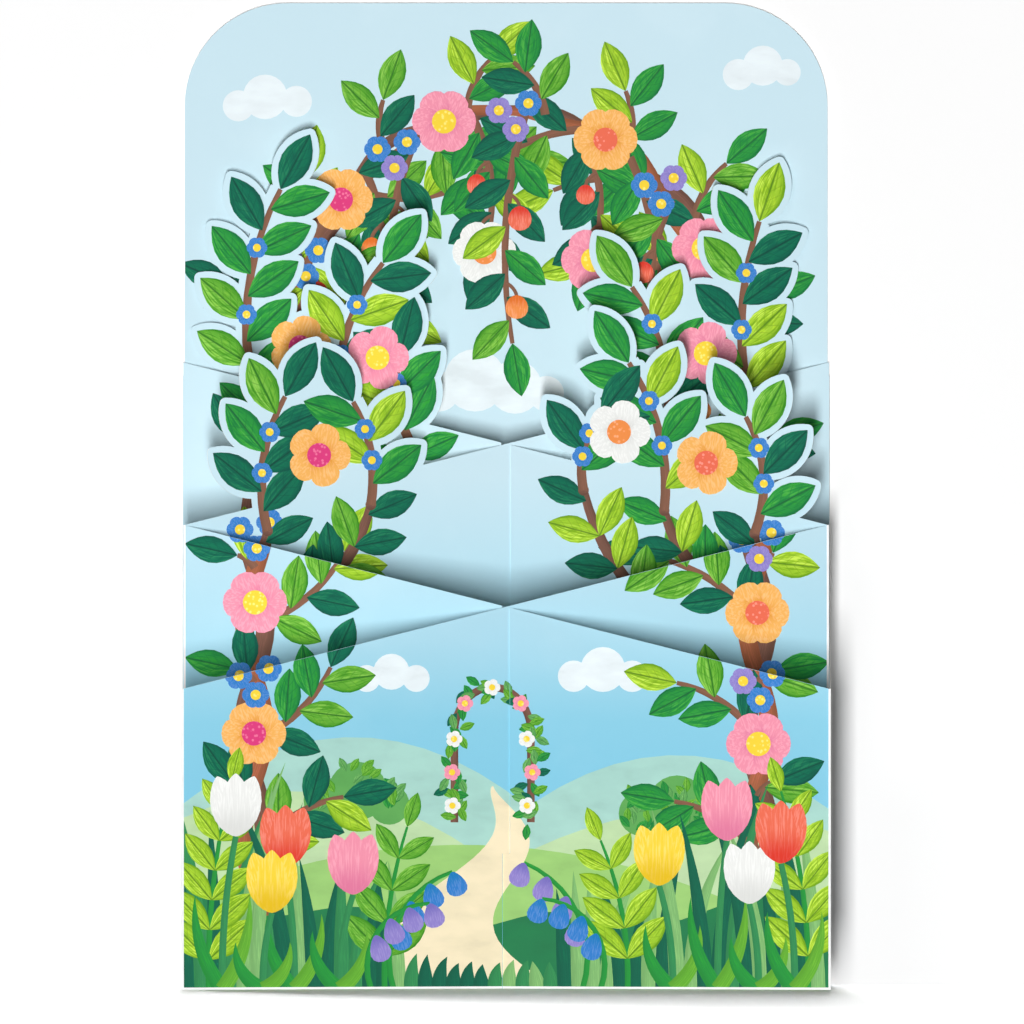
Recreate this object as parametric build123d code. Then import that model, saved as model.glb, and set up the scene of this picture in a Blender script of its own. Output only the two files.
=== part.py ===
from build123d import *
from collections import namedtuple
from math import atan, atan2, cos, degrees, hypot, radians, sin, tan
import os

# A standing pop up card, in millimetres: +Z up, the front towards -Y, the origin under its middle.

# Back panel
panel_width = 144.0
panel_height = 220.0
corner_radius = 23.0
board = 0.35

# Folded strips: the height at the panel's side, and how far the slanted top edge falls across each wing
back_height = 139.5
edge_fall = 36.4
rear_angle = 10.0
front_angle = 13.0

# Slots where the two strips pass through each other
rear_slot_meet = 60.0
front_slot_meet = 30.0
slot_play = 0.1
slot_end_gap = 0.3
slot_overshoot = 1.0

# Glue tabs behind the panel's sides
tab_width = 12.0
tab_taper = 6.0
tab_inset = 3.0
side_play = 0.1
hinge_stand_off = 0.2

# Die-cut foliage on the rear wings, with its stems rooted below the sheet's top edge
border = 1.3
stem_root = 6.0
stem_width = 2.2
leaf_length = 14.0
leaf_width = 7.0
leaf_spread = 50.0
petal_radius = 3.2
petal_circle = 4.0
petal_count = 5
smallest_window = 120.0

# A spray's stem: its place from the crossing (0) to the card's side (1), its lean towards the centre, its rise
# above the sheet's top edge, how far it bows towards the side, and how many side leaves it has
Spray = namedtuple("Spray", "place lean rise bow leaves")
# A blossom: its place from the crossing to the side, and the rise of its centre above the sheet's top edge
Bloom = namedtuple("Bloom", "place rise")

left_hinge_growth = [
    Spray(0.77, 5.0, 43.0, 5.0, 9),
    Spray(0.52, 10.0, 31.0, 4.0, 7),
    Spray(0.29, -3.0, 14.0, 2.0, 4),
    Bloom(0.64, 10.0),
    Bloom(0.40, 12.0),
]
left_fold_growth = [
    Spray(0.77, 2.0, 20.0, 3.0, 5),
    Spray(0.49, 8.0, 27.0, 3.0, 6),
    Spray(0.24, -4.0, 11.0, -2.0, 3),
    Bloom(0.62, 7.0),
    Bloom(0.35, 9.0),
]
right_hinge_growth = [
    Spray(0.76, -2.0, 36.0, -3.0, 8),
    Spray(0.50, 8.0, 26.0, 3.0, 6),
    Bloom(0.62, 9.0),
]
right_fold_growth = [
    Spray(0.74, 4.0, 24.0, 3.0, 6),
    Spray(0.42, -4.0, 17.0, -2.0, 4),
    Bloom(0.58, 8.0),
]

# Places worked out from the sizes above, with the panel's front face at y = 0
half = panel_width / 2
hinge_x = half + side_play + board / 2
hinge_y = -board / 2 - hinge_stand_off
fold_x = half - board / 2
free_x = half
rear_slope = tan(radians(rear_angle))
front_slope = tan(radians(front_angle))
rear_cross_y = hinge_y - hinge_x * rear_slope
fold_y = rear_cross_y - fold_x * rear_slope
front_cross_y = fold_y - fold_x * front_slope
free_y = front_cross_y - free_x * front_slope
tab_y = 1.5 * board
fold_height = back_height - edge_fall
free_height = fold_height - edge_fall
front_reach = free_y - board / 2 * cos(radians(front_angle))
rear_reach = 2 * board
middle_y = (front_reach + rear_reach) / 2


def top_edge(ends, u):
    """Height of a wing's slanted top edge at the distance u along the wing."""
    (u_left, h_left), (u_right, h_right) = ends
    return h_left + (h_right - h_left) * (u - u_left) / (u_right - u_left)


def arc_station(root, tip, bow, share):
    """Point and heading on the arc from root to tip that bows to the left of its chord."""
    run, rise = tip[0] - root[0], tip[1] - root[1]
    chord, bearing = hypot(run, rise), atan2(rise, run)
    half_turn = 2 * atan(2 * bow / chord)
    radius = chord / (2 * sin(half_turn))
    turn = half_turn * (2 * share - 1)
    along = chord / 2 + radius * sin(turn)
    aside = radius * (cos(turn) - cos(half_turn))
    u = root[0] + along * cos(bearing) - aside * sin(bearing)
    v = root[1] + along * sin(bearing) + aside * cos(bearing)
    return u, v, degrees(bearing - turn)


def leaf_outline(u, v, heading):
    """A pointed oval leaf with its border, from its base at u, v."""
    upper = ThreePointArc((0, 0), (leaf_length / 2, leaf_width / 2), (leaf_length, 0))
    lower = ThreePointArc((leaf_length, 0), (leaf_length / 2, -leaf_width / 2), (0, 0))
    leaf = offset(make_face([upper, lower]), amount=border, kind=Kind.ARC)
    return Location((u, v), heading) * leaf


def spray_outlines(spray, side, reach, ends):
    """A bowed stem with leaves on alternate sides and one leaf at its tip."""
    u_root = side * reach * spray.place
    foot = top_edge(ends, u_root)
    root = (u_root, foot - stem_root)
    tip = (u_root - side * spray.lean, foot + spray.rise)
    bow = -side * spray.bow
    middle = arc_station(root, tip, bow, 0.5)
    outlines = [trace(ThreePointArc(root, middle[:2], tip), stem_width + 2 * border)]
    for number in range(spray.leaves):
        u, v, heading = arc_station(root, tip, bow, (number + 1) / (spray.leaves + 1))
        turn = leaf_spread if number % 2 else -leaf_spread
        outlines.append(leaf_outline(u, v, heading + turn))
    outlines.append(leaf_outline(*arc_station(root, tip, bow, 1.0)))
    return outlines


def bloom_outlines(bloom, side, reach, ends):
    """A round blossom with its border: petal discs in a ring about a centre disc."""
    u = side * reach * bloom.place
    place = Pos(u, top_edge(ends, u) + bloom.rise)
    petals = [place * spot * Circle(petal_radius + border) for spot in PolarLocations(petal_circle, petal_count)]
    return petals + [place * Circle(petal_circle)]


def growth_outlines(growth, side, reach, ends):
    """Every die-cut outline that stands on one half of a wing."""
    outlines = []
    for item in growth:
        shape = spray_outlines if isinstance(item, Spray) else bloom_outlines
        outlines += shape(item, side, reach, ends)
    return outlines


def close_small_windows(outline):
    """Leaves uncut the gaps between leaves that are under the smallest area worth cutting out."""
    face = outline.face()
    windows = [wire for wire in face.inner_wires() if Face(wire).area > smallest_window]
    return Face(face.outer_wire(), windows)


def slot(angle, low, high):
    """A slot at the crossing, wide enough for the other strip to pass through at its angle."""
    width = board / tan(radians(angle)) + 2 * slot_play
    return Pos(0, (low + high) / 2) * Rectangle(width, high - low)


def wing(cross_y, lead, ends, outlines, opening):
    """One flat wing of a strip, drawn from the crossing outwards and given the board's thickness."""
    (u_left, h_left), (u_right, h_right) = ends
    base = Polygon((u_left, 0), (u_right, 0), (u_right, h_right), (u_left, h_left), align=None)
    across = Vector(cos(radians(lead)), sin(radians(lead)), 0)
    facing = Vector(across.Y, -across.X, 0)
    sheet = Plane(origin=(0, cross_y, 0), x_dir=across, z_dir=facing)
    whole = close_small_windows(base + outlines) if outlines else base
    return extrude(sheet * (whole - opening), amount=board / 2, both=True)


def crease(x, y, low, high):
    """The rounded outside of a vertical fold."""
    return Pos(x, y, low) * Cylinder(board / 2, high - low, align=(Align.CENTER, Align.CENTER, Align.MIN))


def glue_tab(side):
    """The strip's end: it wraps the panel's side and lies flat on the panel's rear face."""
    low, high = tab_inset, back_height - tab_inset
    inner_x = half - tab_width
    outline = Polygon(
        (side * hinge_x, low),
        (side * inner_x, low + tab_taper),
        (side * inner_x, high - tab_taper),
        (side * hinge_x, high),
        align=None,
    )
    tab = extrude(Plane.XZ * Pos(0, 0, -tab_y) * outline, amount=board / 2, both=True)
    wrap_depth = tab_y - hinge_y
    wrap = Pos(side * hinge_x, (tab_y + hinge_y) / 2, (low + high) / 2) * Box(board, wrap_depth, high - low)
    return [tab, wrap, crease(side * hinge_x, tab_y, low, high), crease(side * hinge_x, hinge_y, low, high)]


def wing_ends(side, near_x, near_height, far_x, far_height, angle):
    """A wing's two ends, left end first: the near end is on the strip's own side of the card."""
    stretch = 1 / cos(radians(angle))
    return sorted([(side * near_x * stretch, near_height), (-side * far_x * stretch, far_height)])


def concertina(side, hinge_growth, fold_growth, rear_from_top):
    """A strip folded in a Z: glue tab, rear wing, fold and front wing, hinged at one side of the panel."""
    rear_ends = wing_ends(side, hinge_x, back_height, fold_x, fold_height, rear_angle)
    front_ends = wing_ends(side, free_x, free_height, fold_x, fold_height, front_angle)
    reach = half / cos(radians(rear_angle))
    outlines = growth_outlines(hinge_growth, side, reach, rear_ends)
    outlines += growth_outlines(fold_growth, -side, reach, rear_ends)
    rear_top = top_edge(rear_ends, 0) + slot_overshoot
    front_top = top_edge(front_ends, 0) + slot_overshoot
    if rear_from_top:
        rear_slot = slot(rear_angle, rear_slot_meet - slot_end_gap / 2, rear_top)
        front_slot = slot(front_angle, 0, front_slot_meet + slot_end_gap / 2)
    else:
        rear_slot = slot(rear_angle, 0, rear_slot_meet + slot_end_gap / 2)
        front_slot = slot(front_angle, front_slot_meet - slot_end_gap / 2, front_top)
    rear = wing(rear_cross_y, side * rear_angle, rear_ends, outlines, rear_slot)
    front = wing(front_cross_y, -side * front_angle, front_ends, [], front_slot)
    fold = crease(-side * fold_x, fold_y, 0, fold_height)
    return rear + [front, fold] + glue_tab(side)


def back_panel():
    """The flat rear sheet with its two rounded top corners."""
    low_part = Pos(0, (panel_height - corner_radius) / 2) * Rectangle(panel_width, panel_height - corner_radius)
    top_part = Pos(0, panel_height / 2) * RectangleRounded(panel_width, panel_height, corner_radius)
    return extrude(Plane.XZ * (low_part + top_part), amount=-board)


cards = {
    "back_panel": back_panel(),
    "left_concertina": concertina(-1, left_hinge_growth, left_fold_growth, True),
    "right_concertina": concertina(1, right_hinge_growth, right_fold_growth, False),
}

os.makedirs("parts", exist_ok=True)
for name, card in cards.items():
    export_step((Pos(0, -middle_y, 0) * card).solid(), f"parts/{name}.step")
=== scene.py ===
from collections import defaultdict, namedtuple
from math import asin, atan, atan2, cos, hypot, pi, radians, sin, tan
from random import Random

import bmesh
import bpy
from mathutils import Matrix, Vector


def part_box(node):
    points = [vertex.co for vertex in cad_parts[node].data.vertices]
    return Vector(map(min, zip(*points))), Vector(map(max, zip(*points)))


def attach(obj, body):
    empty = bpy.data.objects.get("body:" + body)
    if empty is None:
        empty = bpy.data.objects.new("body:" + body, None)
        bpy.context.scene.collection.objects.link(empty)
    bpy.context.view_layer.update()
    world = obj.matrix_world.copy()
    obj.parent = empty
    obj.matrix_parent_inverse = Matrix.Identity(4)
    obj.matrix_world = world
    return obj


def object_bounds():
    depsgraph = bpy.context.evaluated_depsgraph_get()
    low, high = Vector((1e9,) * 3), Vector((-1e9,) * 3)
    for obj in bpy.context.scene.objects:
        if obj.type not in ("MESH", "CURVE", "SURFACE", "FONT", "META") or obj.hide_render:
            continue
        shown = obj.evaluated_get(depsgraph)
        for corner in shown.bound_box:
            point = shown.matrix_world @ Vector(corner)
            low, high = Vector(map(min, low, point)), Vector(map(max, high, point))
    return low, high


# A standing pop up card with a printed garden. Sizes on the card are in millimetres, with x to the right and
# z up as seen from the front, and are turned to metres when a shape is laid on its sheet.

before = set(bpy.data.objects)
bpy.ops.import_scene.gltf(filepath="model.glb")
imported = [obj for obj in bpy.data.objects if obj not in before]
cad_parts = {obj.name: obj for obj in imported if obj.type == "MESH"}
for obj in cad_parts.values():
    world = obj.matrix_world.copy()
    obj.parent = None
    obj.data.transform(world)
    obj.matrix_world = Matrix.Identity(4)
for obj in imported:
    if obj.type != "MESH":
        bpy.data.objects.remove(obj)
cad_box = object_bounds()
mm = 0.001

# Card sizes
panel_low, panel_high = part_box("back_panel")
half = panel_high[0] / mm
panel_height = panel_high[2] / mm
panel_face = panel_low[1] / mm
board = (panel_high[1] - panel_low[1]) / mm
back_height = 139.5
edge_fall = 36.4
rear_angle = radians(10.0)
front_angle = radians(13.0)
rear_slot_meet = 60.0
front_slot_meet = 30.0
slot_play = 0.1
side_play = 0.1
hinge_stand_off = 0.2

# Die-cut foliage sizes
stem_root = 6.0
stem_width = 2.2
stem_taper = 0.5
leaf_length = 14.0
leaf_width = 7.0
leaf_spread = radians(50.0)
petal_radius = 3.2
petal_circle = 4.0
petal_count = 5
petal_egg = 0.3
eye_share = 0.85

# Places of the sheets
hinge_x = half + side_play + board / 2
hinge_y = panel_face - board / 2 - hinge_stand_off
fold_x = half - board / 2
rear_cross_y = hinge_y - hinge_x * tan(rear_angle)
fold_y = rear_cross_y - fold_x * tan(rear_angle)
front_cross_y = fold_y - fold_x * tan(front_angle)
fold_height = back_height - edge_fall
free_height = fold_height - edge_fall
rear_edge_slope = edge_fall / (hinge_x + fold_x)
front_edge_slope = edge_fall / (half + fold_x)
rear_edge_z = fold_height + fold_x * rear_edge_slope
front_edge_z = free_height + half * front_edge_slope

# A printed sheet: its front face's y at the centre and that face's slope across the card, its top edge's
# height at the centre and that edge's slope, and the slot at its crossing by half width, foot and head
Sheet = namedtuple("Sheet", "name face slope edge edge_slope slot")


def wing_sheet(name, side, rear):
    """One wing of a folded strip, on the card's left (-1) or right (1)."""
    angle = rear_angle if rear else front_angle
    turn = side if rear else -side
    cross_y = rear_cross_y if rear else front_cross_y
    edge_z = rear_edge_z if rear else front_edge_z
    edge_slope = rear_edge_slope if rear else front_edge_slope
    meet = rear_slot_meet if rear else front_slot_meet
    from_top = rear == (side < 0)
    slot = (board / tan(angle) / 2 + slot_play, meet if from_top else 0.0, edge_z if from_top else meet)
    return Sheet(name, cross_y - board / 2 / cos(angle), turn * tan(angle), edge_z, turn * edge_slope, slot)


panel = Sheet("back_panel", panel_face, 0.0, panel_height, 0.0, None)
left_rear = wing_sheet("left_rear_wing", -1, True)
right_rear = wing_sheet("right_rear_wing", 1, True)
left_front = wing_sheet("left_front_wing", -1, False)
right_front = wing_sheet("right_front_wing", 1, False)
sheets = [panel, left_rear, right_rear, left_front, right_front]
grown_wings = [left_rear, right_rear]


def tone(red, green, blue):
    """A colour from its screen values, 0 to 255, as linear light."""
    levels = [value / 255 for value in (red, green, blue)]
    return tuple(v / 12.92 if v < 0.04045 else ((v + 0.055) / 1.055) ** 2.4 for v in levels) + (1.0,)


# Inks
sky_high = tone(205, 233, 244)
sky_middle = tone(172, 220, 238)
sky_low = tone(140, 208, 232)
sky_foot = tone(120, 199, 229)
paper_white = tone(246, 246, 243)
paper_fibre = tone(232, 231, 226)
cut_white = tone(250, 251, 251)
cloud_white = tone(236, 246, 250)
hill_pale = tone(192, 222, 172)
hill_fresh = tone(158, 207, 120)
hill_far = tone(170, 215, 205)
bush_green = tone(96, 168, 88)
path_cream = tone(246, 232, 196)
meadow_green = tone(38, 124, 78)
deep_green = tone(4, 104, 78)
leaf_green = tone(38, 146, 62)
fresh_green = tone(98, 172, 52)
lime_green = tone(158, 203, 46)
blade_deep = tone(16, 98, 74)
blade_green = tone(52, 138, 84)
blade_pale = tone(128, 184, 112)
bark_brown = tone(120, 84, 70)
bark_rust = tone(164, 98, 66)
twig_brown = tone(132, 92, 72)
peach = tone(251, 184, 96)
blush = tone(247, 150, 174)
magenta = tone(226, 62, 128)
coral = tone(242, 112, 84)
orange = tone(246, 146, 74)
yellow = tone(252, 218, 62)
white_petal = tone(242, 243, 240)
sky_petal = tone(52, 128, 206)
lilac = tone(146, 132, 206)
leaf_greens = [deep_green, leaf_green, lime_green, deep_green, fresh_green, leaf_green, deep_green]

# Each printed shape lies one ply above the shapes that it covers
ply = 0.004
first_ply = 0.01
sunk = 0.01
trim_margin = 0.06
bleed = 14.0
prints = {}
covered = defaultdict(list)
chance = Random(11)


def face_y(sheet, x):
    """Depth of a sheet's front face at x."""
    return sheet.face + sheet.slope * x


def edge_z(sheet, x):
    """Height of a sheet's top edge at x."""
    return sheet.edge + sheet.edge_slope * x


def cover_z(sheet, x):
    """Height at x up to which nearer sheets hide this one."""
    nearer = [edge_z(other, x) for other in sheets if face_y(other, x) < face_y(sheet, x)]
    return max(nearer, default=0.0)


def shows_on(sheet, points):
    """Whether any of the points is on the part of a sheet that is seen from the front, or in its bleed."""
    return any(abs(x) <= half and cover_z(sheet, x) - bleed < z < edge_z(sheet, x) for x, z in points)


def crosses_edge(sheet, points):
    """Whether a shape stands across a sheet's top edge."""
    rises = [z - edge_z(sheet, x) for x, z in points]
    return min(rises) < 0 < max(rises)


def new_stamp():
    """An empty flat shape with room for its ink and its pattern coordinates."""
    stamp = bmesh.new()
    stamp.loops.layers.uv.new("UVMap")
    stamp.verts.layers.float_color.new("ink")
    return stamp


def oval(base, heading, length, width, point=1.0, egg=0.0, segments=20):
    """A flat oval from its base outwards: point 0 is round and 1 a pointed leaf, egg widens its far end."""
    stamp = new_stamp()
    bmesh.ops.create_circle(stamp, cap_ends=True, radius=1.0, segments=segments)
    weave = stamp.loops.layers.uv.active
    for vert in stamp.verts:
        vert.co.y *= abs(vert.co.y) ** point * (1 + egg * vert.co.x)
        for loop in vert.link_loops:
            loop[weave].uv = (0.5 + vert.co.x / 2, 0.5 + vert.co.y / 2)
    stand = Matrix.Rotation(pi / 2, 4, "X")
    turn = Matrix.Rotation(heading, 4, "Z")
    grow = Matrix.Diagonal((length / 2, width / 2, 1.0, 1.0))
    move = Matrix.Translation((base[0], 0.0, base[1]))
    from_base = Matrix.Translation((length / 2, 0.0, 0.0))
    bmesh.ops.transform(stamp, matrix=move @ stand @ turn @ from_base @ grow, verts=stamp.verts)
    return stamp


def disc(x, z, radius):
    """A flat disc."""
    return oval((x - radius, z), 0.0, 2 * radius, 2 * radius, point=0.0, segments=24)


def ribbon(path, length, width, taper=0.0, steps=16):
    """A flat band along a path that gives x, z and heading for each share of its length."""
    stamp = new_stamp()
    bmesh.ops.create_grid(stamp, x_segments=steps, y_segments=1, size=0.5)
    weave = stamp.loops.layers.uv.active
    for vert in stamp.verts:
        share, aside = vert.co.x + 0.5, vert.co.y
        x, z, heading = path(share)
        for loop in vert.link_loops:
            loop[weave].uv = (share * length / 10, aside + 0.5)
        reach = aside * width * (1 - taper * share**2)
        vert.co = (x - reach * sin(heading), 0.0, z + reach * cos(heading))
    bmesh.ops.remove_doubles(stamp, verts=stamp.verts, dist=0.02)
    return stamp


def field(low_x, high_x, foot, crest, steps=24):
    """A flat area between a level foot and a crest that gives its height at x."""
    stamp = new_stamp()
    bmesh.ops.create_grid(stamp, x_segments=steps, y_segments=1, size=0.5)
    for vert in stamp.verts:
        x = low_x + (vert.co.x + 0.5) * (high_x - low_x)
        vert.co = (x, 0.0, crest(x) if vert.co.y > 0 else foot)
    return stamp


def everything(shape):
    """All of a shape's geometry, for the cutting tools."""
    return shape.verts[:] + shape.edges[:] + shape.faces[:]


def cut(shape, place, outward, clear=True):
    """Cuts a flat shape along a line, and takes off what lies outward of it."""
    bmesh.ops.bisect_plane(shape, geom=everything(shape), plane_co=place, plane_no=outward, clear_outer=clear)


def trim(shape, sheet):
    """Cuts a flat shape to its sheet."""
    side = half - trim_margin
    cut(shape, (0, 0, sheet.edge - trim_margin), (-sheet.edge_slope, 0, 1))
    cut(shape, (side, 0, 0), (1, 0, 0))
    cut(shape, (-side, 0, 0), (-1, 0, 0))
    cut(shape, (0, 0, trim_margin), (0, 0, -1))
    clear_slot(shape, sheet)


def clear_slot(shape, sheet):
    """Takes a flat shape off its sheet's slot."""
    if sheet.slot and shape.verts and min(abs(v.co.x) for v in shape.verts) < half / 2:
        width, foot, head = sheet.slot
        cut(shape, (width, 0, 0), (1, 0, 0), clear=False)
        cut(shape, (-width, 0, 0), (-1, 0, 0), clear=False)
        cut(shape, (0, 0, foot), (0, 0, -1), clear=False)
        cut(shape, (0, 0, head), (0, 0, 1), clear=False)
        centres = {face: face.calc_center_median() for face in shape.faces}
        gone = [face for face, c in centres.items() if abs(c.x) < width and foot < c.z < head]
        bmesh.ops.delete(shape, geom=gone, context="FACES")


def lay(shape, sheet, height):
    """Gives a flat shape its thickness and lays it on the front of its sheet."""
    raised = bmesh.ops.extrude_face_region(shape, geom=shape.faces[:])["geom"]
    top = {item for item in raised if isinstance(item, bmesh.types.BMVert)}
    for vert in shape.verts:
        x, z = vert.co.x, vert.co.z
        rise = height if vert in top else -sunk
        vert.co = Vector((x, face_y(sheet, x) - rise, z)) * mm
    bmesh.ops.recalc_face_normals(shape, faces=shape.faces)


def next_height(shape, sheet):
    """Height for a shape on its sheet, one ply above whatever it covers there."""
    xs = [vert.co.x for vert in shape.verts]
    zs = [vert.co.z for vert in shape.verts]
    low_x, high_x, low_z, high_z = min(xs), max(xs), min(zs), max(zs)
    below = [
        plies
        for plies, (x0, x1, z0, z1) in covered[sheet.name]
        if x0 < high_x and low_x < x1 and z0 < high_z and low_z < z1
    ]
    plies = max(below, default=0) + 1
    covered[sheet.name].append((plies, (low_x, high_x, low_z, high_z)))
    return first_ply + plies * ply


def press(stamp, ink, colour, sheet=None):
    """Prints a flat shape wherever it shows on the card, or whole on one sheet."""
    tint = stamp.verts.layers.float_color["ink"]
    for vert in stamp.verts:
        vert[tint] = colour
    points = [(vert.co.x, vert.co.z) for vert in stamp.verts]
    for target in [sheet] if sheet else [s for s in sheets if shows_on(s, points)]:
        if sheet is None and target in grown_wings and crosses_edge(target, points):
            continue
        shape = stamp.copy()
        if sheet is None:
            trim(shape, target)
        if shape.faces:
            lay(shape, target, next_height(shape, target))
            mesh = bpy.data.meshes.new("stamp")
            shape.to_mesh(mesh)
            prints.setdefault((target.name, ink), new_stamp()).from_mesh(mesh)
            bpy.data.meshes.remove(mesh)
        shape.free()
    stamp.free()


def squeeze(stamp, share):
    """Narrows a shape drawn along a slanted sheet to the width that is seen from the front."""
    for vert in stamp.verts:
        vert.co.x *= share
    return stamp


def arc_station(root, tip, bow, share):
    """Point and heading on the arc from root to tip that bows to the left of its chord."""
    run, rise = tip[0] - root[0], tip[1] - root[1]
    chord, bearing = hypot(run, rise), atan2(rise, run)
    half_turn = 2 * atan(2 * bow / chord)
    radius = chord / (2 * sin(half_turn))
    turn = half_turn * (2 * share - 1)
    along = chord / 2 + radius * sin(turn)
    aside = radius * (cos(turn) - cos(half_turn))
    x = root[0] + along * cos(bearing) - aside * sin(bearing)
    z = root[1] + along * sin(bearing) + aside * cos(bearing)
    return x, z, bearing - turn


def stem(root, tip, bow, width, taper, steps=10):
    """A flat bowed stem."""
    length = hypot(tip[0] - root[0], tip[1] - root[1])
    return ribbon(lambda share: arc_station(root, tip, bow, share), length, width, taper, steps)


def next_green():
    """The next leaf's colour."""
    return leaf_greens[chance.randrange(len(leaf_greens))]


def spray(root, tip, bow, leaves, size=1.0, sheet=None, narrow=1.0):
    """A bowed stem with leaves on alternate sides and one leaf at its tip."""
    twig = stem(root, tip, bow, stem_width * size, stem_taper)
    press(squeeze(twig, narrow), "blades", twig_brown, sheet)
    for number in range(leaves + 1):
        last = number == leaves
        x, z, heading = arc_station(root, tip, bow, 1.0 if last else (number + 1) / (leaves + 1))
        turn = 0.0 if last else leaf_spread if number % 2 else -leaf_spread
        leaf = oval((x, z), heading + turn, leaf_length * size, leaf_width * size)
        press(squeeze(leaf, narrow), "leaves", next_green(), sheet)


def blossom(x, z, petals, eye, count=petal_count, size=1.0, sheet=None, narrow=1.0):
    """A round blossom of broad petals about its eye."""
    reach = (petal_circle + petal_radius) * size
    for number in range(count):
        heading = 2 * pi * number / count
        petal = oval((x, z), heading, reach, 2 * petal_radius * size, point=0.0, egg=petal_egg, segments=16)
        press(squeeze(petal, narrow), "petals", petals, sheet)
    ring = petal_radius * eye_share * size
    press(squeeze(disc(x, z, ring), narrow), "pollen", eye, sheet)


def leaf_dab(place, heading, length, width, greens):
    """A small painted leaf in one of some greens."""
    press(oval(place, heading, length, width, segments=12), "leaves", chance.choice(greens))


# Sprays and blossoms on the die-cut foliage, as on the strips themselves
Spray = namedtuple("Spray", "place lean rise bow leaves")
Bloom = namedtuple("Bloom", "place rise petals eye")
left_hinge_growth = [
    Spray(0.77, 5.0, 43.0, 5.0, 9),
    Spray(0.52, 10.0, 31.0, 4.0, 7),
    Spray(0.29, -3.0, 14.0, 2.0, 4),
    Bloom(0.64, 10.0, peach, magenta),
    Bloom(0.40, 12.0, blush, yellow),
]
left_fold_growth = [
    Spray(0.77, 2.0, 20.0, 3.0, 5),
    Spray(0.49, 8.0, 27.0, 3.0, 6),
    Spray(0.24, -4.0, 11.0, -2.0, 3),
    Bloom(0.62, 7.0, peach, coral),
    Bloom(0.35, 9.0, white_petal, orange),
]
right_hinge_growth = [
    Spray(0.76, -2.0, 36.0, -3.0, 8),
    Spray(0.50, 8.0, 26.0, 3.0, 6),
    Bloom(0.62, 9.0, blush, yellow),
]
right_fold_growth = [
    Spray(0.74, 4.0, 24.0, 3.0, 6),
    Spray(0.42, -4.0, 17.0, -2.0, 4),
    Bloom(0.58, 8.0, peach, magenta),
]
arch_petals = 6
spray_flower_shares = (0.42, 0.72)
spray_flower_size = 0.33

# Garden arch: two twining vines on each side that rise along the card's sides and meet at the top
arch_half = 56.0
arch_spring = 116.0
arch_top = 196.0
arch_shoulder = 0.6
vine_width = 4.4
vine_taper = 0.5
vine_sway = 2.4
vine_turns = 5.0
vine_length = 226.0
vine_steps = 72
vine_leaf_size = 0.86

# Leafy twigs on the vines
twig_count = 16
twig_start = 0.13
twig_span = 0.82
twig_angle = 52.0
twig_angle_play = 8.0
twig_bow = 0.1
twig_leaf_gap = 5.0
twig_tip_room = 0.8
inward_twig = (20.0, 30.0)
outward_twig = (12.0, 18.0)

# Boughs that join the die-cut sprays to the vines
bough_drop = 9.0
bough_climb = 8.0
bough_bow = 0.2
bough_width = 3.4
bough_taper = 0.45
bough_knuckle = 0.55
bough_leaf_gap = 7.0
bough_first_leaf = 0.7


def arch_station(side, share):
    """Point and heading on one half of the arch: its leg for the first half, then a quarter of an ellipse."""
    if share < 0.5:
        return side * arch_half, arch_spring * share * 2, pi / 2
    turn = (share - 0.5) * pi
    rise = arch_top - arch_spring
    heading = atan2(rise * cos(turn), -side * arch_half * sin(turn))
    return side * arch_half * cos(turn), arch_spring + rise * sin(turn), heading


def arch_share(z):
    """How far along its half of the arch a vine reaches the height z."""
    if z < arch_spring:
        return z / arch_spring / 2
    return 0.5 + asin((z - arch_spring) / (arch_top - arch_spring)) / pi


def vine(side, phase, last):
    """A vine that sways about the arch's line, from its foot to a share of the arch's half."""

    def station(share):
        x, z, heading = arch_station(side, share * last)
        aside = vine_sway * (1 - share**8) * sin(2 * pi * vine_turns * share * last + phase)
        return x - aside * sin(heading), z + aside * cos(heading), heading

    return ribbon(station, vine_length * last, vine_width, vine_taper * last, int(vine_steps * last))


def print_arch():
    """The vines, and leafy twigs that leave them on both sides."""
    for side in (-1, 1):
        for phase, colour in ((0.0, bark_brown), (pi, bark_rust)):
            press(vine(side, phase, 1.0), "bark", colour)
            for wing in grown_wings:
                fork = edge_z(wing, side * arch_half) - bough_drop
                press(vine(side, phase, arch_share(fork)), "bark", colour, wing)
        for number in range(twig_count):
            share = twig_start + twig_span * number / (twig_count - 1)
            x, z, heading = arch_station(side, share)
            outward = number % 2
            lean = radians(twig_angle + chance.uniform(-twig_angle_play, twig_angle_play))
            angle = heading - (side if outward else -side) * lean
            room = half - abs(x) if share < arch_shoulder else panel_height - z
            inward_reach = chance.uniform(*inward_twig)
            outward_reach = min(chance.uniform(*outward_twig), room - leaf_length * twig_tip_room)
            reach = outward_reach if outward else inward_reach
            tip = (x + reach * cos(angle), z + reach * sin(angle))
            bow = chance.choice((-twig_bow, twig_bow)) * reach
            spray((x, z), tip, bow, round(reach / twig_leaf_gap), vine_leaf_size)


def leaf_bough(leg, root, bow, sheet, narrow):
    """Leaves on both sides of a bough, where they keep below the die-cut edge."""
    length = hypot(root[0] - leg[0], root[1] - leg[1])
    count = int(length / bough_leaf_gap)
    leaf_size = leaf_length * vine_leaf_size, leaf_width * vine_leaf_size
    for number in range(count):
        x, z, heading = arc_station(leg, root, bow, (number + bough_first_leaf) / count)
        for turn in (-leaf_spread, leaf_spread):
            leaf = squeeze(oval((x, z), heading + turn, *leaf_size), narrow)
            if max(vert.co.z - edge_z(sheet, vert.co.x) for vert in leaf.verts) < -trim_margin:
                press(leaf, "leaves", next_green(), sheet)
            else:
                leaf.free()


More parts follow.
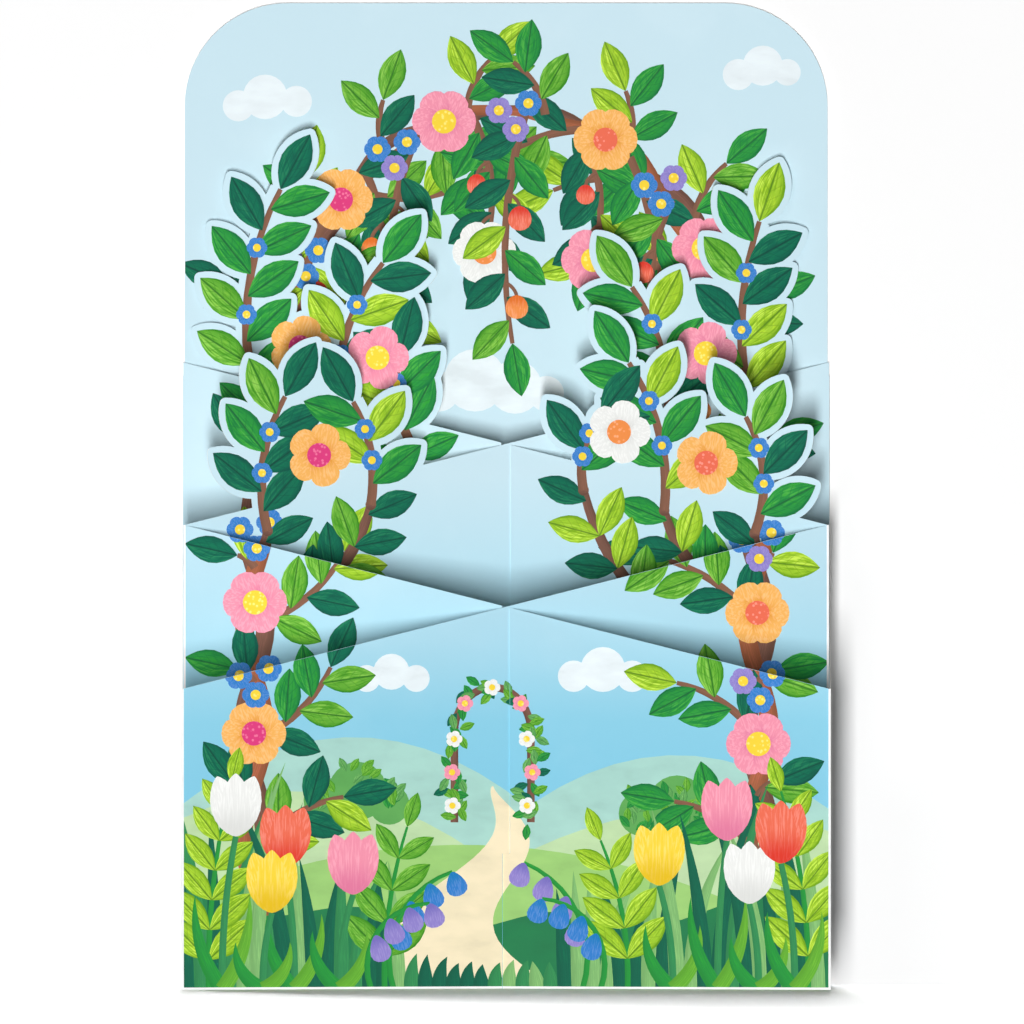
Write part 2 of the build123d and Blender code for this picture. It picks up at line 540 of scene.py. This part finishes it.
def print_growth(growth, side, sheet):
    """Prints the sprays and blossoms of one half of a rear wing inside their die-cut outlines."""
    narrow = cos(rear_angle)
    reach = half / narrow
    for item in growth:
        u = side * reach * item.place
        foot = edge_z(sheet, u * narrow)
        if isinstance(item, Spray):
            root = (u, foot - stem_root)
            run = side * arch_half / narrow - u
            leg = (u + run, root[1] - max(abs(run), bough_climb))
            bow = bough_bow * run
            bough = stem(leg, root, bow, bough_width, bough_taper, 14)
            press(squeeze(bough, narrow), "bark", bark_brown, sheet)
            leaf_bough(leg, root, bow, sheet, narrow)
            press(squeeze(disc(*root, stem_width * bough_knuckle), narrow), "bark", bark_brown, sheet)
    for item in growth:
        u = side * reach * item.place
        foot = edge_z(sheet, u * narrow)
        if isinstance(item, Bloom):
            blossom(u, foot + item.rise, item.petals, item.eye, sheet=sheet, narrow=narrow)
        else:
            tip = (u - side * item.lean, foot + item.rise)
            root = (u, foot - stem_root)
            spray(root, tip, -side * item.bow, item.leaves, sheet=sheet, narrow=narrow)
            for share in spray_flower_shares:
                place = arc_station(root, tip, -side * item.bow, share)[:2]
                blossom(*place, sky_petal, yellow, arch_petals, spray_flower_size, sheet, narrow)


# Hanging sprays under the arch: side, share of the arch's half, drop, bow and the blossom at the tip
Hanging = namedtuple("Hanging", "side share drop bow petals eye")
hanging_sprays = [
    Hanging(-1, 0.66, 24.0, 3.0, None, None),
    Hanging(-1, 0.74, 30.0, -3.0, None, None),
    Hanging(-1, 0.81, 34.0, 3.0, None, None),
    Hanging(-1, 0.885, 46.0, -4.0, None, None),
    Hanging(-1, 0.955, 31.0, 3.0, white_petal, orange),
    Hanging(1, 0.975, 52.0, -3.0, None, None),
    Hanging(1, 0.905, 30.0, 3.0, blush, yellow),
    Hanging(1, 0.835, 46.0, 4.0, None, None),
    Hanging(1, 0.77, 32.0, -3.0, None, None),
    Hanging(1, 0.70, 28.0, 3.0, None, None),
    Hanging(1, 0.64, 22.0, -3.0, None, None),
]
hanging_leaf_gap = 5.5

# Fruits on the hanging sprays
fruit_shares = (0.36, 0.74)
fruit_aside = 2.5
fruit_size = (2.2, 2.8)
fruit_width = 1.9
fruit_egg = 0.1
fruit_tuck = 0.3
fruit_colours = (coral, orange, coral, blush)
stalk_drop = 3.0
stalk_width = 0.8
stalk_bow = 0.2

# Blossoms on the vines: side, share of the arch's half and colours
Flower = namedtuple("Flower", "side share petals eye")
arch_blossoms = [
    Flower(-1, 0.77, peach, magenta),
    Flower(-1, 0.92, blush, yellow),
    Flower(1, 0.87, peach, coral),
    Flower(1, 0.71, blush, yellow),
    Flower(-1, 0.37, blush, yellow),
    Flower(1, 0.36, peach, coral),
    Flower(-1, 0.245, peach, magenta),
    Flower(1, 0.235, blush, yellow),
]
# Groups of small flowers on the vines: side and share
small_groups = [(-1, 0.70), (-1, 0.85), (1, 0.99), (1, 0.79), (-1, 0.44), (1, 0.43), (-1, 0.30), (1, 0.295)]
small_flower_shifts = ((-3.4, 0.0), (3.2, 1.6), (0.4, -4.2))
small_flower_size = 0.42
small_flower_colours = (sky_petal, sky_petal, lilac)


def berry(x, z, aside, size, colour):
    """A round fruit that hangs on a stalk from the twig at x, z."""
    top_x, top_z = x + aside, z - stalk_drop
    press(stem((x, z), (top_x, top_z), aside * stalk_bow, stalk_width, 0.0, 6), "blades", twig_brown)
    base, width = (top_x, top_z + fruit_tuck), fruit_width * size
    press(oval(base, -pi / 2, 2 * size, width, point=0.0, egg=fruit_egg, segments=16), "petals", colour)


def print_canopy():
    """Hanging sprays with fruits and blossoms, and groups of small flowers."""
    for number, item in enumerate(hanging_sprays):
        x, z = arch_station(item.side, item.share)[:2]
        root, tip = (x, z), (x + item.bow, z - item.drop)
        spray(root, tip, item.bow, round(item.drop / hanging_leaf_gap), vine_leaf_size)
        aside = fruit_aside if number % 2 else -fruit_aside
        for share in fruit_shares:
            place = arc_station(root, tip, item.bow, share)[:2]
            berry(*place, aside, chance.uniform(*fruit_size), chance.choice(fruit_colours))
        if item.petals:
            blossom(*tip, item.petals, item.eye, arch_petals)
    for flower in arch_blossoms:
        place = arch_station(flower.side, flower.share)[:2]
        blossom(*place, flower.petals, flower.eye, arch_petals)
    for side, share in small_groups:
        x, z = arch_station(side, share)[:2]
        for shift_x, shift_z in small_flower_shifts:
            petals = chance.choice(small_flower_colours)
            blossom(x + shift_x, z + shift_z, petals, yellow, arch_petals, small_flower_size)


# Sky and distance
Puff = namedtuple("Puff", "x z radius")
clouds = [
    [Puff(-15, 133, 4.5), Puff(-7, 135.5, 7), Puff(2, 134, 6), Puff(9, 132.5, 4)],
    [Puff(-60, 197, 3.5), Puff(-54, 199, 5), Puff(-47, 198, 3.5)],
    [Puff(52, 204, 3.5), Puff(57.5, 206, 4.5), Puff(63, 204.5, 3)],
    [Puff(15, 69.5, 3.5), Puff(21.5, 71, 5), Puff(28, 69.5, 3.5)],
    [Puff(-31, 69, 3), Puff(-25.5, 70.5, 4), Puff(-20, 69, 3)],
]
# A hill by its middle, crest, spread and colour
Hill = namedtuple("Hill", "middle crest spread colour")
hills = [
    Hill(-34.0, 56.0, 46.0, hill_far),
    Hill(38.0, 52.0, 44.0, hill_far),
    Hill(-46.0, 44.0, 44.0, hill_pale),
    Hill(44.0, 40.0, 50.0, hill_pale),
    Hill(-10.0, 32.0, 60.0, hill_fresh),
]
hill_stretch = 1.6
hill_least = 1.0
bushes = [
    Puff(-40, 42, 5),
    Puff(-33, 44, 6.5),
    Puff(-26, 41, 4.5),
    Puff(30, 39, 5),
    Puff(38, 41, 6.5),
    Puff(46, 39, 5),
]
bush_dabs = 14
bush_dab_size = (3.4, 1.8)
bush_dab_reach = (0.1, 0.8)
bush_dab_heading = (0.6, 2.5)
bush_greens = (bush_green, fresh_green, leaf_green)

# Path and the far gate over its head
path_head = 45.0
path_swing = 15.0
path_bend = 6.6
path_bend_start = 0.4
path_width = 32.0
path_head_width = 0.4
path_start = -3.0
gate_half = 8.5
gate_foot = 37.0
gate_spring = 57.0
gate_top = 67.0
gate_post = 0.3
gate_arch = 0.4
gate_length = 62.0
gate_width = 1.7
gate_dabs = 64
gate_dab_size = (3.6, 1.9)
gate_dab_play = 1.6
gate_greens = (bush_green, fresh_green, leaf_green, deep_green)
gate_flowers = 9
gate_flower_play = 1.2
gate_flower_size = 0.26


def winding_path():
    """The path, which narrows as it winds into the distance."""
    stamp = new_stamp()
    bmesh.ops.create_grid(stamp, x_segments=1, y_segments=36, size=0.5)
    for vert in stamp.verts:
        near = 0.5 - vert.co.y
        middle = path_start + path_swing * near**1.2 * sin(path_bend * near - path_bend_start)
        x = middle + vert.co.x * (path_width * near**1.5 + path_head_width)
        vert.co = (x, 0.0, path_head * (1 - near**1.5))
    return stamp


def gate_station(share):
    """Point and heading along the far gate: up one post, over its arch and down the other post."""
    post = gate_spring - gate_foot
    if share < gate_post:
        return path_start - gate_half, gate_foot + post * share / gate_post, pi / 2
    if share > gate_post + gate_arch:
        down = share - gate_post - gate_arch
        return path_start + gate_half, gate_spring - post * down / gate_post, -pi / 2
    turn = pi - pi * (share - gate_post) / gate_arch
    rise = gate_top - gate_spring
    heading = atan2(-rise * cos(turn), gate_half * sin(turn))
    return path_start + gate_half * cos(turn), gate_spring + rise * sin(turn), heading


def print_gate():
    """A far garden gate over the path's head, with leaf dabs and small flowers on it."""
    press(ribbon(gate_station, gate_length, gate_width, steps=60), "bark", bark_brown)
    for number in range(gate_dabs):
        x, z = gate_station((number + 0.5) / gate_dabs)[:2]
        x += chance.uniform(-gate_dab_play, gate_dab_play)
        z += chance.uniform(-gate_dab_play, gate_dab_play)
        leaf_dab((x, z), chance.uniform(0, 2 * pi), *gate_dab_size, gate_greens)
    for number in range(gate_flowers):
        x, z = gate_station((number + 0.5) / gate_flowers)[:2]
        aside = chance.uniform(-gate_flower_play, gate_flower_play)
        petals = blush if number % 2 else white_petal
        blossom(x + aside, z, petals, yellow, size=gate_flower_size)


def hill_top(hill, x):
    """Height of a hill's rounded top at x."""
    away = (x - hill.middle) / (hill_stretch * hill.spread)
    return max(hill.crest * max(0.0, 1 - away**2), hill_least)


def print_distance():
    """Clouds, hills and bushes."""
    for cloud in clouds:
        for puff in cloud:
            press(disc(puff.x, puff.z, puff.radius), "washes", cloud_white)
    for hill in hills:
        press(field(-half, half, 0.0, lambda x: hill_top(hill, x)), "washes", hill.colour)
    for bush in bushes:
        press(disc(bush.x, bush.z, bush.radius), "washes", bush_green)
        for number in range(bush_dabs):
            turn, reach = chance.uniform(0, 2 * pi), bush.radius * chance.uniform(*bush_dab_reach)
            place = (bush.x + reach * cos(turn), bush.z + reach * sin(turn))
            leaf_dab(place, chance.uniform(*bush_dab_heading), *bush_dab_size, bush_greens)


# Meadow, and the grass on it, which is higher towards the card's sides and low across the path
meadow_crest = 15.0
meadow_wave = 2.0
meadow_wave_run = 7.0
meadow_side_rise = 6.0
blade_gap = 3.1
blade_rise = 16.0
blade_side_rise = 52.0
blade_side_share = (0.35, 1.0)
blade_play = 8.0
blade_lean = 0.28
blade_width = 3.6
blade_colours = (blade_deep, blade_green, blade_deep, blade_pale)
path_left, path_right = -22.0, 11.0
path_blade_share = 0.3

# Plants by their place, height, lean at the top and colour
Plant = namedtuple("Plant", "x rise lean colour")
tulips = [
    Plant(-63.0, 34.0, 3.0, white_petal),
    Plant(-47.0, 27.0, -2.0, coral),
    Plant(-54.0, 17.0, 2.0, yellow),
    Plant(-37.0, 21.0, 3.0, blush),
    Plant(37.0, 23.0, -3.0, yellow),
    Plant(47.0, 33.0, 2.0, blush),
    Plant(56.0, 19.0, -2.0, white_petal),
    Plant(64.0, 28.0, -3.0, coral),
]
ferns = [
    Plant(-27.0, 36.0, 5.0, fresh_green),
    Plant(-66.0, 46.0, 5.0, lime_green),
    Plant(27.0, 33.0, -6.0, lime_green),
    Plant(67.0, 44.0, -6.0, lime_green),
]
bluebells = [
    Plant(-25.0, 26.0, 13.0, sky_petal),
    Plant(-30.0, 19.0, 13.0, lilac),
    Plant(17.0, 28.0, -13.0, lilac),
    Plant(21.0, 20.0, -13.0, sky_petal),
]
fern_pair_gap = 6.5
fern_leaf, fern_leaf_fall = 14.0, 6.0
fern_leaf_width = 0.45
fern_spread = 0.8
tulip_leaf_reach, tulip_leaf_rise = 6.0, 0.62
tulip_cup, tulip_cup_width = 14.0, 7.0
tulip_turns = (-0.3, 0.3, 0.0)
bell_shares = (0.46, 0.64, 0.82, 1.0)
bell_bow = 6.0
bell_length, bell_width = 6.6, 4.4
bell_swing = 0.3


def meadow_top(x):
    """Height of the meadow's wavy top at x."""
    return meadow_crest + meadow_wave * sin(x / meadow_wave_run) + meadow_side_rise * (x / half) ** 2


def print_meadow():
    """The meadow, the path with its far gate, and then grass, ferns, tulips and bluebells."""
    press(field(-half, half, 0.0, meadow_top, 48), "washes", meadow_green)
    press(winding_path(), "washes", path_cream)
    print_gate()
    for number in range(int(2 * half / blade_gap)):
        x = -half + blade_gap * (number + 0.5)
        side_rise = blade_side_rise * abs(x / half) ** 1.6 * chance.uniform(*blade_side_share)
        rise = blade_rise + side_rise + chance.uniform(0.0, blade_play)
        if path_left < x < path_right:
            rise *= path_blade_share
        lean = chance.uniform(-blade_lean, blade_lean) * rise
        colour = chance.choice(blade_colours)
        blade = stem((x, 0.0), (x + lean, rise), lean * 0.25 + 0.3, blade_width, 1.0, 12)
        press(blade, "blades", colour)
    for fern in ferns:
        print_fern(fern)
    for tulip in tulips:
        print_tulip(tulip)
    for bluebell in bluebells:
        print_bluebell(bluebell)


def print_fern(fern):
    """A fern frond with pairs of leaflets that get smaller to its tip."""
    root, tip, bow = (fern.x, 0.0), (fern.x + fern.lean, fern.rise), fern.lean * 0.3
    press(stem(root, tip, bow, 1.3, 0.6), "blades", leaf_green)
    pairs = int(fern.rise / fern_pair_gap)
    for number in range(1, pairs + 1):
        share = number / pairs
        x, z, heading = arc_station(root, tip, bow, share)
        size = fern_leaf - fern_leaf_fall * share
        for turn in (-fern_spread, fern_spread) if number < pairs else (0.0,):
            press(oval((x, z), heading + turn, size, size * fern_leaf_width), "leaves", fern.colour)


def print_tulip(tulip):
    """A tulip: stem, two long leaves and a cup of three petals."""
    root, head = (tulip.x, 0.0), (tulip.x + tulip.lean, tulip.rise)
    press(stem(root, head, tulip.lean * 0.3, 1.6, 0.2), "blades", blade_green)
    for side, green in ((-1, leaf_green), (1, fresh_green)):
        tip = (tulip.x + side * tulip_leaf_reach, tulip.rise * tulip_leaf_rise)
        press(stem(root, tip, -side * 2.0, 3.4, 1.0, 12), "blades", green)
    for turn in tulip_turns:
        petal = oval(head, pi / 2 + turn, tulip_cup, tulip_cup_width, point=0.5, egg=-0.1)
        press(petal, "petals", tulip.colour)


def print_bluebell(bluebell):
    """A nodding stem with bells that hang along its end."""
    side = 1 if bluebell.lean > 0 else -1
    root, tip, bow = (bluebell.x, 0.0), (bluebell.x + bluebell.lean, bluebell.rise), side * bell_bow
    press(stem(root, tip, bow, 1.3, 0.4), "blades", leaf_green)
    for share in bell_shares:
        place, hang = arc_station(root, tip, bow, share)[:2], side * bell_swing - pi / 2
        bell = oval(place, hang, bell_length - share, bell_width, point=0.0, egg=0.4, segments=16)
        press(bell, "petals", bluebell.colour)


# White cut edges
cut_line = 0.5
cut_run = 10.0


def cut_edge(sheet, path):
    """A white line along a path at a sheet's cut edge."""
    line = ribbon(path, cut_run, cut_line, steps=4)
    clear_slot(line, sheet)
    press(line, "washes", cut_white, sheet)


def cut_side(sheet, side):
    """The white line up one side of a sheet."""
    x = side * (half - cut_line / 2)
    cut_edge(sheet, lambda share: (x, edge_z(sheet, x) * share, pi / 2))


def print_edges():
    """The white cut edges at the sides and foot of the front wings and at the rear wings' folds."""
    for sheet in (left_front, right_front):
        cut_side(sheet, -1)
        cut_side(sheet, 1)
        cut_edge(sheet, lambda share: (half * (2 * share - 1), cut_line / 2, 0.0))
    cut_side(left_rear, 1)
    cut_side(right_rear, -1)


print_distance()
print_arch()
print_canopy()
print_meadow()
print_edges()
print_growth(left_hinge_growth, -1, left_rear)
print_growth(left_fold_growth, 1, left_rear)
print_growth(right_hinge_growth, 1, right_rear)
print_growth(right_fold_growth, -1, right_rear)


class Value:
    """One value in a finish, with arithmetic that adds its nodes."""

    def __init__(self, tree, socket=None):
        self.tree = tree
        self.socket = socket

    def add(self, kind, settings=None, sockets=None, output=0):
        """Adds a node: its settings first, then the values or links of its sockets."""
        node = self.tree.nodes.new("ShaderNode" + kind)
        for name, setting in (settings or {}).items():
            if name == "stops":
                while len(node.color_ramp.elements) < len(setting):
                    node.color_ramp.elements.new(1.0)
                for stop, (place, colour) in zip(node.color_ramp.elements, setting):
                    stop.position, stop.color = place, colour
            else:
                setattr(node, name, setting)
        for name, value in (sockets or {}).items():
            if isinstance(value, Value):
                self.tree.links.new(value.socket, node.inputs[name])
            else:
                node.inputs[name].default_value = value
        return Value(self.tree, node.outputs[output])

    def maths(self, operation, *others):
        """This value and others through one Math node."""
        return self.add("Math", {"operation": operation}, dict(enumerate((self, *others))))

    def __add__(self, other):
        return self.maths("ADD", other)

    def __sub__(self, other):
        return self.maths("SUBTRACT", other)

    def __rsub__(self, other):
        return (self * -1) + other

    def __mul__(self, other):
        return self.maths("MULTIPLY", other)

    def __truediv__(self, other):
        return self.maths("DIVIDE", other)

    def __abs__(self):
        return self.maths("ABSOLUTE")

    __radd__ = __add__
    __rmul__ = __mul__

    def part(self, axis):
        """One axis of these coordinates."""
        return self.add("SeparateXYZ", None, {0: self}, axis)

    def rise(self, low, high):
        """0 below low and 1 above high, with a soft step between."""
        sockets = {"Value": self, "From Min": low, "From Max": high}
        return self.add("MapRange", {"interpolation_type": "SMOOTHSTEP"}, sockets)

    def blend(self, other, share):
        """This colour turning into another by a share."""
        return self.add("Mix", {"data_type": "RGBA"}, {0: share, 6: self, 7: other}, 2)

    def shade(self, value, hue=0.5, saturation=1.0):
        """This colour made lighter or darker."""
        sockets = {"Hue": hue, "Saturation": saturation, "Value": value, "Color": self}
        return self.add("HueSaturation", None, sockets)

    def noise(self, scale, detail=3.0):
        """Soft noise over these coordinates."""
        return self.add("TexNoise", None, {"Vector": self, "Scale": scale, "Detail": detail})


# Finishes of the print and the board
brush_depth = 0.00006
brush_strength = 0.5
print_sheen = 0.6
sheen_play = 0.16
print_gloss = 0.15
board_grain = 0.00003
board_sheen = 0.5
board_sheen_play = 0.15


def new_finish(name):
    """An empty finish, its colour shader and a value to build from."""
    material = bpy.data.materials.new(name)
    material.use_nodes = True
    return material, material.node_tree.nodes["Principled BSDF"], Value(material.node_tree)


def finish_with(shader, start, colour, roughness, grain, depth=brush_depth):
    """Feeds a print's colour, sheen and brushed surface to its shader."""
    shader.inputs["Specular IOR Level"].default_value = print_gloss
    bump = start.add("Bump", None, {"Strength": brush_strength, "Distance": depth, "Height": grain}, "Normal")
    for name, value in (("Base Color", colour), ("Roughness", roughness), ("Normal", bump)):
        start.tree.links.new(value.socket, shader.inputs[name])


def ink_of(start):
    """The ink that a shape was printed with."""
    return start.add("Attribute", {"attribute_name": "ink"}, None, "Color")


def card_place(start):
    """A point's place on the card."""
    return start.add("TexCoord", None, None, "Object")


def brush_place(start):
    """The share along a shape, and the place across it from -1 to 1."""
    place = start.add("UVMap", {"uv_map": "UVMap"})
    return place.part("X"), place.part("Y") * 2 - 1


def leaf_gouache():
    """Painted leaf: strokes that follow its outline, side veins, a dark midrib and one dark edge."""
    material, shader, start = new_finish("leaf_gouache")
    ink = ink_of(start)
    along, across = brush_place(start)
    middle = along * 2 - 1
    bend = across / (1.06 - middle * middle)
    fleck = card_place(start).part("X") * 60.0
    strokes = start.add("CombineXYZ", None, {0: along * 1.1, 1: bend * 3.2, 2: fleck}).noise(2.6, 4.0)
    dabs = start.add("CombineXYZ", None, {0: along * 3.0, 1: bend * 2.0, 2: fleck}).noise(3.0, 3.0)
    vein = abs((along * 6.0 - abs(bend) * 1.5).maths("FRACT") - 0.5).rise(0.40, 0.49)
    rib = 1 - abs(across).rise(0.02, 0.09)
    lit = ink.blend(ink.shade(1.7, 0.475, 0.92), strokes.rise(0.48, 0.66) * bend.rise(-0.7, 0.5) * 0.85)
    dabbed = lit.blend(ink.shade(1.35, 0.48), dabs.rise(0.52, 0.68) * 0.55)
    dark = dabbed.blend(ink.shade(0.55, 0.525, 1.1), strokes.rise(0.50, 0.34) * 0.65)
    edged = dark.blend(ink.shade(0.42, 0.54, 1.1), bend.rise(-0.55, -0.98) * 0.8)
    veined = edged.blend(ink.shade(0.6, 0.51), vein * abs(bend).rise(0.95, 0.5) * 0.5)
    colour = veined.blend(ink.shade(0.36, 0.53), rib * 0.85)
    finish_with(shader, start, colour, strokes * sheen_play + print_sheen, strokes - rib * 0.5)
    return material


def petal_gouache():
    """Painted petal: warm at its base, brushed lighter to its tip."""
    material, shader, start = new_finish("petal_gouache")
    ink = ink_of(start)
    along, across = brush_place(start)
    fleck = card_place(start).part("X") * 700.0
    strokes = start.add("CombineXYZ", None, {0: along * 1.2, 1: across * 3.4, 2: fleck}).noise(2.4)
    tipped = ink.blend(ink.shade(1.2, 0.5, 0.8), strokes.rise(0.46, 0.62) * 0.5)
    colour = tipped.blend(ink.shade(0.8, 0.485, 1.15), along.rise(0.62, 0.1) * 0.75)
    finish_with(shader, start, colour, strokes * sheen_play + print_sheen, strokes)
    return material


def pollen_dots():
    """A blossom's eye: dabbed spots on a plain ground."""
    material, shader, start = new_finish("pollen_dabs")
    ink = ink_of(start)
    dabs = start.add("TexVoronoi", None, {"Vector": card_place(start), "Scale": 1100.0}, "Distance")
    colour = ink.blend(ink.shade(1.3, 0.5, 0.8), dabs.rise(0.42, 0.2) * 0.7)
    finish_with(shader, start, colour, dabs * 0.1 + print_sheen, dabs)
    return material


def bark_gouache():
    """Painted bark: long dry strokes and a shaded side."""
    material, shader, start = new_finish("bark_gouache")
    ink = ink_of(start)
    along, across = brush_place(start)
    strokes = start.add("CombineXYZ", None, {0: along * 0.9, 1: across * 3.0}).noise(2.0, 4.0)
    lit = ink.blend(ink.shade(1.42, 0.49), strokes.rise(0.5, 0.62) * 0.8)
    colour = lit.blend(ink.shade(0.6), across.rise(0.1, -0.9) * 0.7)
    finish_with(shader, start, colour, strokes * 0.2 + print_sheen, strokes)
    return material


def blade_gouache():
    """Painted grass and stems: fine strokes along them and one side in shade."""
    material, shader, start = new_finish("blade_gouache")
    ink = ink_of(start)
    along, across = brush_place(start)
    strokes = start.add("CombineXYZ", None, {0: along * 0.7, 1: across * 2.4}).noise(2.6, 4.0)
    lit = ink.blend(ink.shade(1.35, 0.49), strokes.rise(0.48, 0.64) * 0.7)
    colour = lit.blend(ink.shade(0.7), across.rise(0.0, 0.95) * 0.5)
    finish_with(shader, start, colour, strokes * sheen_play + print_sheen, strokes)
    return material


def wash_gouache():
    """Broad brushed washes: hills, meadow, clouds, path and cut edges."""
    material, shader, start = new_finish("wash_gouache")
    ink = ink_of(start)
    drift = start.add("Mapping", None, {"Vector": card_place(start), "Scale": (0.4, 1.0, 1.0)})
    strokes = drift.noise(260.0, 5.0)
    lit = ink.blend(ink.shade(1.12, 0.495), strokes.rise(0.44, 0.66) * 0.55)
    colour = lit.blend(ink.shade(0.86), strokes.rise(0.46, 0.3) * 0.5)
    finish_with(shader, start, colour, strokes * sheen_play + print_sheen, strokes)
    return material


def printed_board():
    """Smooth coated board: a pale sky printed on the front, white on its back and at its cut edges."""
    material, shader, start = new_finish("printed_board")
    spot = card_place(start)
    height = spot.part("Z") / (panel_height * mm)
    stops = [(0.10, sky_foot), (0.27, sky_low), (0.35, sky_middle), (0.52, sky_high)]
    sky = start.add("ValToRGB", {"stops": stops}, {0: height})
    cloudy = spot.noise(46.0, 4.0)
    brushed = sky.blend(sky.shade(1.05, 0.5, 0.9), cloudy.rise(0.5, 0.7) * 0.35)
    front = start.add("NewGeometry", None, None, "Normal").part("Y").rise(-0.5, -0.8)
    fibre = spot.noise(1800.0, 4.0)
    core = start.add("Mix", {"data_type": "RGBA"}, {0: fibre * 0.25, 6: paper_white, 7: paper_fibre}, 2)
    colour = core.blend(brushed, front)
    finish_with(shader, start, colour, fibre * board_sheen_play + board_sheen, fibre, board_grain)
    return material


finishes = {
    "washes": wash_gouache(),
    "bark": bark_gouache(),
    "blades": blade_gouache(),
    "leaves": leaf_gouache(),
    "petals": petal_gouache(),
    "pollen": pollen_dots(),
}
sheet_board = printed_board()
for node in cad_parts.values():
    node.data.materials.clear()
    node.data.materials.append(sheet_board)

for (sheet_name, ink), shapes in prints.items():
    mesh = bpy.data.meshes.new(f"{sheet_name}_{ink}")
    shapes.to_mesh(mesh)
    shapes.free()
    mesh.materials.append(finishes[ink])
    piece = bpy.data.objects.new(mesh.name, mesh)
    bpy.context.collection.objects.link(piece)
    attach(piece, "root")

# Stage
floor_reach = 0.7
floor_glow = 0.02
wall_half = 0.4
wall_gap = 0.0004
wall_glow = 0.03
stage_roughness = 0.9
white = (1.0, 1.0, 1.0, 1.0)
room_light = 0.04


def seen_directly(start):
    """1 for rays that show a surface in the picture, in a reflection or through glass."""
    kinds = ("Is Camera Ray", "Is Glossy Ray", "Is Transmission Ray")
    camera_ray, glossy_ray, transmission_ray = [start.add("LightPath", None, None, kind) for kind in kinds]
    return camera_ray.maths("MAXIMUM", glossy_ray).maths("MAXIMUM", transmission_ray)


def stage_white(name, glow_level, see_through_back):
    """White paper that stays white to the camera and keeps the card's shadow."""
    material, shader, start = new_finish(name)
    shader.inputs["Base Color"].default_value = white
    shader.inputs["Roughness"].default_value = stage_roughness
    glow = start.add("Emission", None, {"Strength": seen_directly(start) * glow_level})
    lit = start.add("AddShader", None, {0: Value(start.tree, shader.outputs[0]), 1: glow})
    if see_through_back:
        behind = start.add("NewGeometry", None, None, "Backfacing")
        lit = start.add("MixShader", None, {0: behind, 1: lit, 2: start.add("BsdfTransparent")})
    start.tree.links.new(lit.socket, start.tree.nodes["Material Output"].inputs["Surface"])
    return material


def stage_plane(name, reach, matrix, material):
    """A large plain plane that isn't part of the card and takes its shadow without casting light back."""
    shape = bmesh.new()
    bmesh.ops.create_grid(shape, x_segments=1, y_segments=1, size=reach, matrix=matrix)
    mesh = bpy.data.meshes.new(name)
    shape.to_mesh(mesh)
    shape.free()
    mesh.materials.append(material)
    plane = bpy.data.objects.new(name, mesh)
    bpy.context.collection.objects.link(plane)
    plane.visible_shadow = plane.visible_diffuse = False
    return plane


wall_place = Matrix.Translation((0, cad_box[1][1] + wall_gap, wall_half)) @ Matrix.Rotation(pi / 2, 4, "X")
floor = stage_plane("floor", floor_reach, Matrix.Identity(4), stage_white("floor_white", floor_glow, False))
stage_plane("wall", wall_half, wall_place, stage_white("wall_white", wall_glow, True))

card_middle = Vector((0.0, 0.0, panel_height / 2 * mm))


def soft_lamp(name, place, width, height, power):
    """A soft box that points at the card and isn't seen itself: its sizes in metres, its power in watts."""
    lamp = bpy.data.lights.new(name, "AREA")
    lamp.shape = "RECTANGLE"
    lamp.size, lamp.size_y, lamp.energy = width, height, power
    holder = bpy.data.objects.new(name, lamp)
    holder.location = place
    holder.rotation_euler = (card_middle - Vector(place)).to_track_quat("-Z", "Y").to_euler()
    holder.visible_camera = False
    bpy.context.collection.objects.link(holder)
    return holder


def shine_on(lamp, item):
    """Lets a lamp light one object only."""
    receivers = bpy.data.collections.new(lamp.name + "_receivers")
    receivers.objects.link(item)
    lamp.light_linking.receiver_collection = receivers


soft_lamp("low_key", (-0.06, -2.0, -0.22), 0.17, 0.64, 37.9)
soft_lamp("left_fill", (-0.70, -1.9, 0.80), 0.5, 0.5, 2.5)
soft_lamp("rear_fill", (-0.9, 1.9, 0.6), 0.6, 0.6, 36.0)
foot_light = soft_lamp("foot_light", (0.0, 4.4, 5.2), 0.4, 4.0, 520.0)
soft_lamp("left_side", (-1.8, -0.01, 0.1), 0.06, 0.4, 12.0)
soft_lamp("right_side", (1.8, -0.01, 0.1), 0.06, 0.4, 5.5)
shine_on(foot_light, floor)

world = bpy.data.worlds.new("room")
world.use_nodes = True
backdrop = world.node_tree.nodes["Background"].inputs
backdrop["Color"].default_value = white
glare = seen_directly(Value(world.node_tree)) * (1 - room_light) + room_light
world.node_tree.links.new(glare.socket, backdrop["Strength"])
bpy.context.scene.world = world
bpy.context.scene.view_settings.view_transform = "Standard"

# Camera, far in front of the card and level with the middle of the picture
camera_far = 6.0
frame_width = 0.2283
frame_middle = (0.0013, 0.106)
lens = bpy.data.cameras.new("camera")
lens.sensor_width = 36.0
lens.lens = lens.sensor_width * camera_far / frame_width
lens.clip_end = 50.0
camera = bpy.data.objects.new("camera", lens)
camera.location = (frame_middle[0], -camera_far, frame_middle[1])
camera.rotation_euler = (pi / 2, 0.0, 0.0)
bpy.context.collection.objects.link(camera)
bpy.context.scene.camera = camera
